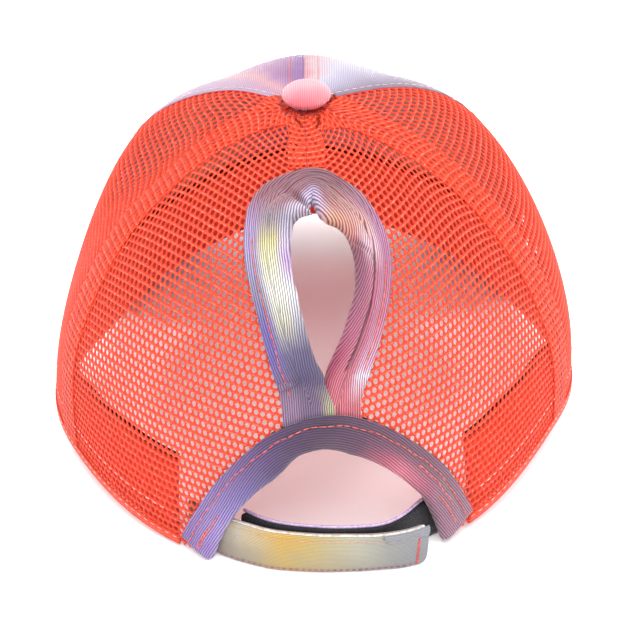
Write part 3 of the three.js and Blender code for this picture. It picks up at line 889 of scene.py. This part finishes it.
tapeRibs = {"pitch": 0.75, "axis": 1, "grooveShade": 0.62, "ridge": 0.93, "depth": 0.24}
ponytailTape = {
    "columns": 300, "across": 60, "wall": 0.85, "crest": 0.8, "lowest": 49, "driftTo": 0.5,
    "beyond": 0.04,
    "lifts": [(0.0, 0.035, -1.1), (1.0, 0.045, -1.3)],  # share along, spread, height
    # share along from the left foot over the top to the right foot, reach, width, puff, and how
    # far the ribs have drifted across
    "rows": [
        (0.0, -2.9, 15.0, 0.7, 0), (0.025, -1.2, 15.4, 1.2, 0.9), (0.05, 0.3, 15.8, 1.1, 1.8),
        (0.1, 0.9, 15.5, 0.9, 3.4), (0.15, 0.5, 14.7, 0.9, 5.0), (0.2, 0.2, 14.2, 0.9, 6.6),
        (0.25, -0.1, 14.4, 1.0, 7.6), (0.3, 0.0, 14.9, 1.0, 8.2), (0.35, -0.8, 15.0, 1.1, 8.4),
        (0.4, -1.3, 14.7, 1.3, 8.4), (0.42, -2.9, 13.6, 1.6, 8.4), (0.438, -5.0, 12.2, 1.8, 8.4),
        (0.45, -5.6, 11.2, 1.0, 8.4), (0.462, -4.0, 10.2, 0.8, 8.4), (0.485, -3.0, 8.9, 1.2, 8.4),
        (0.505, -3.6, 8.3, 1.4, 8.4), (0.53, -5.2, 8.2, 1.4, 8.4), (0.55, -5.8, 8.8, 1.3, 8.4),
        (0.575, -5.2, 9.3, 1.2, 8.4), (0.6, -3.2, 9.8, 1.1, 8.4), (0.625, -1.7, 10.4, 1.0, 8.8),
        (0.65, -1.3, 11.1, 1.0, 10.0), (0.7, -0.7, 12.0, 1.0, 12.2), (0.75, -0.2, 11.9, 1.0, 14.4),
        (0.8, -0.4, 12.0, 1.0, 16.6), (0.85, -0.1, 12.6, 0.9, 18.8), (0.9, -0.3, 13.3, 0.8, 21.0),
        (0.95, -1.6, 12.8, 0.5, 23.0), (1.0, -3.4, 10.6, 0.2, 25.0),
    ],
    # swells and dips: share along, across, spread along, spread across, height
    "folds": [
        (0.425, 0.25, 0.03, 0.28, 0.9), (0.505, 0.3, 0.026, 0.25, 0.9), (0.57, 0.35, 0.03, 0.3, 0.4),
        (0.452, 0.2, 0.007, 0.36, -3.2), (0.36, 0.3, 0.05, 0.3, 0.3), (0.1, 0.4, 0.1, 0.3, 0.3),
    ],
    # creases: across, drift, spread, depth, from and to along
    "creases": [
        (0.48, -0.25, 0.03, 2.4, 0.6, 0.93), (0.26, 8.5, 0.06, 2.2, 0.64, 0.7),
        (0.62, 0.0, 0.04, 0.7, 0.4, 0.6), (0.74, 0.1, 0.02, 0.35, 0.3, 0.64),
        (0.86, 0.0, 0.02, 0.35, 0.3, 0.66), (0.82, 0.0, 0.05, 0.3, 0.02, 0.34),
        (0.8, 0.0, 0.06, 0.3, 0.7, 0.9), (0.3, 2.5, 0.05, 0.4, 0.52, 0.58),
    ],
}
# Dye along the ponytail tape; the near-white stop #ecdcee at 0.93 of the outer ramp is a painted highlight
# on the outer side of the right leg near its foot
ponytailDyeAndHighlight = {
    "blotch": 0.1, "bleed": (0.035, 0.3, 0),
    "outer": {0: "#99789a", 0.08: "#80658a", 0.14: "#6f5fae", 0.2: "#7a68b0", 0.26: "#8f88a8",
              0.33: "#b3a4d6", 0.38: "#b394c4", 0.43: "#9c5f70", 0.52: "#854a5b", 0.58: "#a86f86",
              0.65: "#b97aa4", 0.72: "#bd6c92", 0.8: "#c97693", 0.88: "#d8a3c0", 0.93: "#ecdcee",
              1: "#d8707f"},
    "middle": {0: "#7c6084", 0.08: "#55446f", 0.14: "#6d628c", 0.19: "#c9c3b4", 0.26: "#f4f1e4",
               0.31: "#ece6c0", 0.35: "#d9cf90", 0.39: "#9f8d9c", 0.43: "#aa7080", 0.5: "#8c5262",
               0.56: "#bf7f7c", 0.62: "#e0a29f", 0.67: "#e6bccb", 0.72: "#bd6c88", 0.8: "#b65c7b",
               0.88: "#c76680", 1: "#da7080"},
    "inner": {0: "#b8b08c", 0.05: "#5b4c72", 0.13: "#655a80", 0.18: "#a7a4b6", 0.25: "#f2eff6",
              0.31: "#c6a3e4", 0.35: "#d2c2e4", 0.4: "#a8a0b4", 0.43: "#d4c2d8", 0.5: "#c4b0d6",
              0.54: "#c9a9c0", 0.58: "#e0a083", 0.63: "#cf8580", 0.67: "#94526a", 0.75: "#9a5873",
              0.83: "#b4617f", 0.9: "#a83c60", 1: "#b8485c"},
}
archTape = {
    "columns": 220, "across": 52, "wall": 0.85, "crest": 0.85, "lowest": 0, "driftTo": 2, "beyond": 0,
    "lifts": [(0.5, 0.11, 0.45)],
    "rows": [
        (0.0, -0.8, 11.9, 0.7, 0), (0.07, -0.1, 11.8, 0.9, 0.6), (0.13, 0.1, 11.3, 0.9, 1.2),
        (0.2, -0.5, 10.8, 0.8, 1.0), (0.27, -1.5, 10.0, 0.7, 0), (0.33, -2.7, 9.4, 0.6, -0.8),
        (0.37, -2.6, 9.2, 0.4, -1.0), (0.43, -0.9, 9.3, 0.6, -0.6), (0.5, -0.8, 10.0, 0.7, 0),
        (0.57, -1.4, 10.5, 0.7, 0), (0.63, -0.5, 11.1, 0.8, 0), (0.7, 0.8, 12.4, 0.8, 0),
        (0.77, 1.9, 13.9, 0.8, -0.5), (0.83, 2.9, 14.8, 0.9, -1.5), (0.9, 2.2, 14.9, 0.8, -2.5),
        (1.0, 0.6, 14.7, 0.6, -3.5),
    ],
    "folds": [(0.13, 0.3, 0.04, 0.25, 0.5), (0.39, 0.2, 0.02, 0.25, -0.7), (0.34, 0.25, 0.02, 0.25, 0.4),
              (0.83, 0.25, 0.03, 0.25, 0.5)],
    "creases": [(0.74, 0.0, 0.035, 0.45, 0.01, 0.99), (0.25, 0.6, 0.07, 0.5, 0.02, 0.14)],
}
archDye = {
    "blotch": 0.09, "bleed": (0.05, 0.4, 0),
    "outer": {0: "#8a63b4", 0.15: "#9275bc", 0.28: "#7a5c9c", 0.4: "#563769", 0.5: "#44234a",
              0.62: "#6b4360", 0.75: "#7c4c66", 0.88: "#8f6078", 1: "#a06c88"},
    "inner": {0: "#a07cca", 0.12: "#a88fd6", 0.24: "#7d6bb0", 0.36: "#573f6c", 0.46: "#49284e",
              0.58: "#653c58", 0.66: "#bf5a74", 0.72: "#e3778c", 0.8: "#b85f7c", 0.88: "#9c6682",
              1: "#a8718c"},
}
archTwill = ribbedCloth("cottonTapeDyedArch", archDye, tapeRibs)
ponytailTwill = ribbedCloth("cottonTapeDyedPonytail", ponytailDyeAndHighlight, tapeRibs)
tapeCloth("arch_tape", archEdge, archTape, archTwill, "arch_binding")
tapeCloth("ponytail_tape", holeEdge, ponytailTape, ponytailTwill, "ponytail_binding")


def tapeRoute(edge, spec, first, last, inset, samples=300, sway=0.0):
    # Along a tape, at a distance inside its stitched edge
    a = np.linspace(first, last, samples)
    reach, width = readRows(spec["rows"], a, 1, 2)
    inset = inset + sway * np.sin(a * 90) + sway * 0.6 * np.sin(a * 37 + 1)
    plain = width - reach - fold["radius"]
    outside, out, _ = tapeShape(spec, a, fold["share"] + (1 - fold["share"]) * (plain - inset) / plain)
    across, above = besideLine(edge, a, outside)
    return crownRoute(*flatAzimuth(0, across, np.maximum(above, 0.6)), out + 0.14)


stitching("tape_stitches", [
    tapeRoute(holeEdge, ponytailTape, 0.02, 0.36, 3.0, sway=0.15),
    tapeRoute(holeEdge, ponytailTape, 0.7, 0.93, 2.2, sway=0.15),
    tapeRoute(archEdge, archTape, 0.005, 0.995, 3.0, sway=0.16),
    tapeRoute(archEdge, archTape, 0.74, 0.94, 5.4, sway=0.3),
], rustThread, gap=0.25, width=0.36)


bartack = {"swing": 0.5, "pitch": 0.9, "width": 0.38}
bm = bmesh.new()
for first, last, inset in ((0.015, 0.15, 7.2), (0.015, 0.09, 6.6), (0.86, 0.97, 7.5)):
    count = int(measured(archEdge)[-1] * (last - first) / bartack["pitch"])
    swings = bartack["swing"] * np.where(np.arange(count + 1) % 2, 0.5, -0.5)
    points, normals = tapeRoute(archEdge, archTape, first, last, inset + swings, count + 1)
    for k in range(count):
        addStitch(bm, points[k], points[k + 1], normals[k], bartack["width"])
settle(meshObject("tape_bartacks", bm), rustThread)
print("tapes ready")


# Strap: a dyed twill tab over a black strip of loops

strap = {
    "width": 16, "wall": 1.9, "endRadius": 2.5, "tuck": 11, "roundEdge": 0.35,
    "tabEnd": 33.6, "loopEnd": 32.5,
    # across from the back centre, distance outside the crown at half height, and how much more at
    # the top than at the bottom: a fastened strap is straighter than the crown
    "tab": [(-52, -3.6, 0), (-44, -3.3, 0.4), (-39, -2.2, 0.8), (-33, -1.3, 1.0), (-26, -0.8, 1.4),
            (-19, 0.1, 1.8), (-6, 0.4, 2.7), (6.5, 1.6, 3.2), (18.5, 4.2, 4.2), (27, 6.0, 3.2),
            (35, 6.4, 2.0)],
    "loop": [(-31, -6.9, 1.0), (-26, -5.7, 1.4), (-19, -4.1, 1.8), (-3, -3.3, 2.7), (10, -1.6, 3.2),
             (20.5, 0.0, 3.6), (28, -0.9, 2.6), (34, -2.6, 1.0), (40, -4.2, 0.4), (56, -4.2, 0)],
}


def strapPoint(across, above, out):
    # The strap stands upright: its edges keep their heights over the rim
    point = flatPoint(0, across, above, out)
    point[:, 2] = above
    return point


def strapCloth(name, start, end, out, inset=0.0, dyeUv=None):
    def acrossAt(a):
        # closer together at the rounded end
        return start + (end - start) * (1 - (1 - a) ** 1.4)

    def place(a, b):
        across = acrossAt(a)
        short = np.maximum(strap["endRadius"] - np.abs(end - across), 0)
        trim = strap["endRadius"] - np.sqrt(np.maximum(strap["endRadius"] ** 2 - short**2, 0)) + inset
        above = trim + (strap["width"] - 2 * trim) * b
        edge = strap["roundEdge"] * np.abs(2 * b - 1) ** 6
        return strapPoint(across, above, out(across, above) - edge)

    return clothGrid(name, 130, 14, strap["wall"], place,
                     lambda a, b: (acrossAt(a), strap["width"] * b), dyeUv)


tabStart = arch["sideways"] - arch["width"] / 2 - strap["tuck"]
loopStart = arch["sideways"] + arch["width"] / 2 + strap["tuck"]
loopEnd = arch["sideways"] - strap["loopEnd"]


def strapOut(rows):
    def out(across, above):
        # the mean of five readings rounds the table's corners
        near = [readRows(rows, across + shift, 1, 2) for shift in (-3, -1.5, 0, 1.5, 3)]
        middle, lean = np.mean(near, axis=0)
        return middle + lean * (above / strap["width"] - 0.5)
    return out


tabOut, loopOut = strapOut(strap["tab"]), strapOut(strap["loop"])
tabDye = {
    "blotch": 0.06, "bleed": (0.25, 0.9, 0),
    "outer": {0: "#7d7264", 0.2: "#a59a84", 0.36: "#c4a556", 0.46: "#b6a67a", 0.6: "#aba695",
              0.75: "#94938c", 0.88: "#8a8a8e", 1: "#86868e"},
    "inner": {0: "#978c7c", 0.2: "#c4b99f", 0.36: "#d2a83e", 0.46: "#c0ac6c", 0.6: "#b9b59f",
              0.75: "#9b9b94", 0.88: "#93949a", 1: "#92939b"},
}
tabRibs = {"pitch": 0.6, "axis": 1, "grooveShade": 0.28, "depth": 0.1}
piece = strapCloth("strap_tab_cloth", tabStart, strap["tabEnd"], tabOut, dyeUv=lambda a, b: (a, b))
settle(piece, ribbedCloth("cottonTwillDyedStrap", tabDye, tabRibs), ["strap_tab"])

black = plainYarn("nylonLoopPileBlack", "#25232a", "#050505", 1400, 0.85, 0.5, 0.1)
piece = strapCloth("strap_loop_cloth", loopStart, loopEnd, loopOut, 0.3)
settle(piece, black, ["strap_loop"])


def strapRoute(start, end, above, out, lift=0.0, samples=160):
    across = np.linspace(start, end, samples)
    azimuth, up = flatAzimuth(0, across, np.full(samples, float(above)))
    points, normals = crownRoute(azimuth, up, out(across, above) + lift)
    points[:, 2] = above
    return points, normals


lilac = plainYarn("cottonEdgingLilac", "#c9b4d2", "#9f86b3", 1200)
points, _ = strapRoute(loopEnd + 1, loopStart - 6, strap["width"] + 0.1, loopOut, -1.2)
tube("strap_edging", points, 1.1, lilac)
points, _ = strapRoute(tabStart + 4, strap["tabEnd"] - 1.5, strap["width"] - 0.2, tabOut, -0.9)
tube("strap_tab_edge", points, 1.1, plainYarn("cottonEdgeUndyed", "#ddd6cf", "#a9a09c", 1200))
plum = plainYarn("polyesterThreadPlum", "#b45a78", "#7f3452")
stitching("strap_stitches_low", [strapRoute(tabStart + 6, strap["tabEnd"] - 1, 1.1, tabOut, 0.1)],
          plum, stitch=1.5, gap=0.5, width=0.45)
faded = plainYarn("polyesterThreadFaded", "#e7a58c", "#c9785f")
stitching("strap_stitches_high", [strapRoute(tabStart + 6, strap["tabEnd"] - 3, 13.9, tabOut, 0.05)],
          faded, stitch=1.9, gap=1.0, width=0.3)

tack = {"across": strap["tabEnd"] - 3.4, "swing": 1.2, "pitch": 0.75, "low": 1.4, "high": 14.6, "width": 0.4}
rises = np.arange(tack["low"], tack["high"], tack["pitch"])
across = tack["across"] + tack["swing"] * np.where(np.arange(len(rises)) % 2, 0.5, -0.5)
points = strapPoint(across, rises, tabOut(across, rises) + 0.1)
bm = bmesh.new()
for start, end in zip(points, points[1:]):
    addStitch(bm, start, end, np.array([0.0, -1.0, 0.2]), tack["width"])
settle(meshObject("strap_bartack", bm), plainYarn("polyesterThreadRed", "#e0503c", "#a8301f"))

# The tab's corner has a small folded hem on its upper edge
hem = {"from": 18.5, "low": 12.8, "high": 16.4, "out": 0.75, "wall": 0.6, "sway": 0.25, "slant": 1.4}


def hemPlace(a, b):
    across = hem["from"] + (strap["tabEnd"] - 0.2 - hem["from"]) * a
    short = hem["sway"] * np.sin(across * 2.1) + hem["slant"] * np.clip(1 - a * 6, 0, 1)
    above = hem["low"] + (hem["high"] - hem["low"]) * b + short * (1 - b)
    swell = hem["out"] * np.sin(pi * np.clip(b * 0.9 + 0.1, 0, 1)) ** 0.5
    return strapPoint(across, above, tabOut(across, above) + swell)


piece = clothGrid("strap_hem", 48, 10, hem["wall"], hemPlace, lambda a, b: (a * 14.5, b * 3.6),
                  lambda a, b: (0.85 + 0.15 * a, b))
settle(piece, ribbedCloth("cottonTwillHem", {**tabDye, "blotch": 0.2}, tabRibs))
print("strap ready")


# Button: a covered dome, its cloth gathered underneath

button = {
    "width": 16.2, "height": 7.0, "tilt": 5, "sideways": 0.9, "ribPitch": 0.72,
    "gathers": 14, "gatherDepth": 0.035, "swell": 0.06,
}


def buttonCloth():
    # Pink cotton twill drawn tight over a dome, deeper at its lower edge
    made, tree = startMaterial("cottonTwillButtonPink")
    where = addNode(tree, "TexCoord", take="Object")
    across, back, _ = split(tree, where)
    wander = calc(tree, "MULTIPLY_ADD", noise(tree, where, 1500.0, 2.0), 0.0002, across)
    ridges = ripple(tree, wander, button["ribPitch"] * mm)
    low = remap(tree, back, float(buttonLow.y), float(buttonHigh.y))
    dyed = calc(tree, "MULTIPLY_ADD", noise(tree, where, 90.0, 1.0), 0.5, low)
    tint = addNode(tree, "ValToRGB", {0: dyed}, {0.25: "#ee6f7c", 0.5: "#f293a0", 0.8: "#f3b6c0",
                                                 1: "#eab8c6"})
    shade = vectorCalc(tree, "SCALE", tint, remap(tree, ridges, -1.0, 0.7, 0.52, 0.84))
    finishMaterial(tree, shade, bumped(tree, ridges, 0.08, 0.7), Roughness=0.6, Sheen_Weight=0.3)
    return made


def makeButton():
    bm = bmesh.new()
    bmesh.ops.create_uvsphere(bm, u_segments=72, v_segments=36, radius=0.5)
    middle = (buttonLow + buttonHigh) / 2 + Vector((button["sideways"] * mm, 0, 0))
    lean = Matrix.Rotation(math.radians(button["tilt"]), 4, "X")
    for vertex in bm.verts:
        x, y, z = vertex.co
        under = max(-z * 2, 0)
        pleat = 1 + button["gatherDepth"] * under * math.sin(button["gathers"] * math.atan2(y, x))
        full = (1 + button["swell"] * (1 - (2 * z) ** 2)) / (1 + button["swell"])
        wide = button["width"] * mm * pleat * full
        vertex.co = middle + lean @ Vector((x * wide, y * wide, z * button["height"] * mm))
    settle(meshObject("button_cloth", bm), buttonCloth(), ["button"])


makeButton()
print("button ready")


# Peak

peak = {
    "reach": 68, "flare": 9, "corner": 4, "wall": 2.8, "sideAngle": 121, "centreHeight": 18, "tipDrop": 5,
    "settled": 0.6,  # the share of the way out where it has left the crown's round
    "lift": 3.0, "clear": 0.5, "stitchRows": (0.16, 0.32, 0.48, 0.64, 0.8, 0.93),
}
dyePeak = {
    "blotch": 0.03, "bleed": (0.5, 0.6, 0),
    "outer": {0: "#b39cc8", 0.2: "#dcb3c2", 0.4: "#f0d9b8", 0.6: "#d7c3d8", 0.8: "#c78fae", 1: "#8e86ad"},
    "inner": {0: "#8f8aa8", 0.22: "#c48fb4", 0.45: "#e9b9b2", 0.62: "#cfcbe0", 0.85: "#a584c4",
              1: "#c99ab5"},
}


def peakEdge(share):
    turn = np.abs(share) * pi / 2
    corner = crownPoint(180 + np.sign(share) * (180 - peak["sideAngle"]), 0.0, peak["clear"])
    frontReach = crown["length"] / 2 + peak["reach"]
    wide = np.abs(corner[:, 0]) * np.sin(turn) ** 0.85 + peak["flare"] * np.abs(np.sin(2 * turn)) ** 0.8
    forward = corner[:, 1] + peak["corner"] + (
        frontReach - peak["corner"] - corner[:, 1]) * np.maximum(np.cos(turn), 0) ** 0.86
    return np.stack([-np.sign(share) * wide, forward, np.zeros(share.shape)], axis=1)


peakWidest = np.abs(peakEdge(np.linspace(-1, 1, 29))[:, 0]).max()


def peakPoint(share, f, lift):
    f = np.broadcast_to(f, share.shape)
    root = crownPoint(180 + share * (180 - peak["sideAngle"]), 0.0, peak["clear"])
    point = root + (peakEdge(share) - root) * f[:, None]
    drop = peak["tipDrop"] * f * f * (1 - share**2)
    bend = peak["centreHeight"] * (1 - (point[:, 0] / peakWidest) ** 2) - drop
    settled = np.clip(f / peak["settled"], 0, 1)
    settled = settled**2 * (3 - 2 * settled)
    point[:, 2] = root[:, 2] * (1 - settled) + np.maximum(bend, 0) * settled + lift
    return point


piece = clothGrid("peak_cloth", 96, 26, peak["wall"],
                  lambda a, b: peakPoint(2 * a - 1, b, peak["lift"]),
                  lambda a, b: (a * 190, b * peak["reach"]), lambda a, b: (a, b),
                  lambda centres: np.tile([0.0, 0.0, 1.0], (len(centres), 1)))
peakRibs = {"pitch": 0.95, "axis": 0, "grooveShade": 0.3, "depth": 0.14}
peakTwill = ribbedCloth("cottonTwillDyedPeak", dyePeak, peakRibs)
settle(piece, peakTwill, ["peak"])

upward = np.tile([0.0, 0.0, 1.0], (300, 1))
share = np.linspace(-0.97, 0.97, 300)
rows = [(peakPoint(share, f, peak["lift"] + 0.08), upward) for f in peak["stitchRows"]]
stitching("peak_stitches", rows, orangeThread, stitch=2.6, gap=0.9, width=0.42)
edge = peakPoint(np.linspace(-0.985, 0.985, 200), 1.0, peak["lift"] / 2)
tube("peak_piping", edge, 3.2, plainYarn("cottonPipingMauve", "#b58fb8", "#8d6a98", 700))
print("peak ready")


# Floor, light and camera

stage = {
    "floor": "#fbfbfd", "skyStrength": 1.0,
    # area lights: towards the light from the cap, distance, width, height, watts, only on the floor
    "lights": {
        "overhead": ((0.1, -0.42, 0.9), 1.2, 0.9, 0.9, 15, False),
        "low_front": ((0.0, 1.0, 0.2), 0.9, 0.6, 0.16, 22, True),
        "low_left": ((-1.0, 0.12, 0.15), 0.9, 0.3, 0.04, 12, True),
        "low_right": ((1.0, 0.12, 0.13), 0.9, 0.3, 0.04, 12, True),
    },
}


def makeStage():
    bm = bmesh.new()
    bmesh.ops.create_grid(bm, x_segments=1, y_segments=1, size=6)
    floor = meshObject("floor", bm, smooth=False)
    floor.location.z = -0.0003
    made, tree = startMaterial("paintedFloorPale")
    finishMaterial(tree, linear(stage["floor"]), Roughness=0.7)
    floor.data.materials.append(made)
    world = bpy.context.scene.world = bpy.data.worlds.new("studio")
    world.use_nodes = True
    sky = world.node_tree.nodes["Background"].inputs
    sky[0].default_value, sky[1].default_value = (1, 1, 1, 1), stage["skyStrength"]
    onlyFloor = bpy.data.collections.new("lit_by_low_lights")
    onlyFloor.objects.link(floor)
    for name, (towards, distance, width, height, watts, low) in stage["lights"].items():
        light = bpy.data.lights.new(name, "AREA")
        light.shape = "RECTANGLE"
        light.size, light.size_y = width, height
        light.energy = watts
        lamp = addObject(name, light)
        towards = Vector(towards).normalized()
        lamp.location = Vector((0, 0.02, 0.0)) + towards * distance
        lamp.rotation_euler = towards.to_track_quat("Z", "Y").to_euler()
        if low:
            lamp.light_linking.receiver_collection = onlyFloor


def makeCamera():
    # Seen from behind and above, with the slight roll of the photograph
    view = {"elevation": 33.75, "roll": -2.08, "distance": 609, "target": (0, -10.36, 40), "lens": 101.64,
            "shift": -0.0021}
    data = bpy.data.cameras.new("camera")
    data.lens = view["lens"]
    data.sensor_width = 36
    data.shift_x = view["shift"]
    data.clip_start, data.clip_end = 0.01, 50
    camera = addObject("camera", data)
    tilt = Matrix.Rotation(math.radians(90 - view["elevation"]), 4, "X")
    roll = Matrix.Rotation(math.radians(view["roll"]), 4, "Z")
    away = Matrix.Translation((0, 0, view["distance"] * mm))
    camera.matrix_world = Matrix.Translation(toRow(view["target"])) @ tilt @ roll @ away
    bpy.context.scene.camera = camera


makeStage()
makeCamera()
bpy.context.scene.view_settings.view_transform = "Standard"
print("stage ready")
